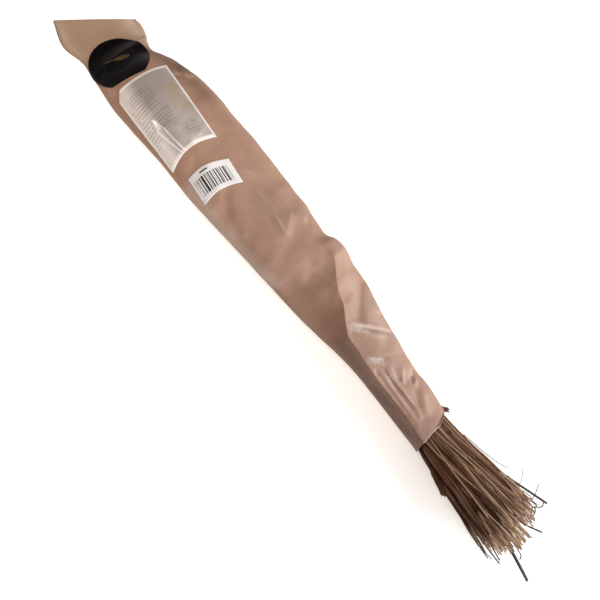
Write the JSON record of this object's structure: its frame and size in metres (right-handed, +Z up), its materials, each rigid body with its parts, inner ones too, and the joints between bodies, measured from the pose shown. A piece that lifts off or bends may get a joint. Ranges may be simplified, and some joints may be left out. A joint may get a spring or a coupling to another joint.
{
  "type": "dried bunny tail grass bunch in a paper sleeve",
  "caption": "Dried bunny tail grass bunch in a rolled kraft paper sleeve, closed and flat at the heads, with the cut stems fanning out of its open end.",
  "frame": {"origin": "centre of the bounding box in plan, on the surface that the bunch lies on", "axes": "+X along the bunch, from the sleeve's flat closed end to the cut ends of the stems; +Z up from the surface"},
  "size_m": [0.6386, 0.0844, 0.0504],
  "materials": {
    "kraft_paper": "matte",
    "black_film": "gloss",
    "label_paper": "satin",
    "white_paper": "matte",
    "clear_tape": "satin",
    "dry_stem": "matte",
    "rubber": "matte",
    "dry_flower": "matte"
  },
  "bodies": {
    "root": {"paper_sleeve": "kraft_paper", "round_sticker": "black_film", "info_label": "label_paper", "barcode_label": "white_paper", "tape_upper": "clear_tape", "tape_lower": "clear_tape", "stems": "dry_stem", "rubber_band": "rubber", "flower_heads": "dry_flower"}
  },
  "joints": []
}
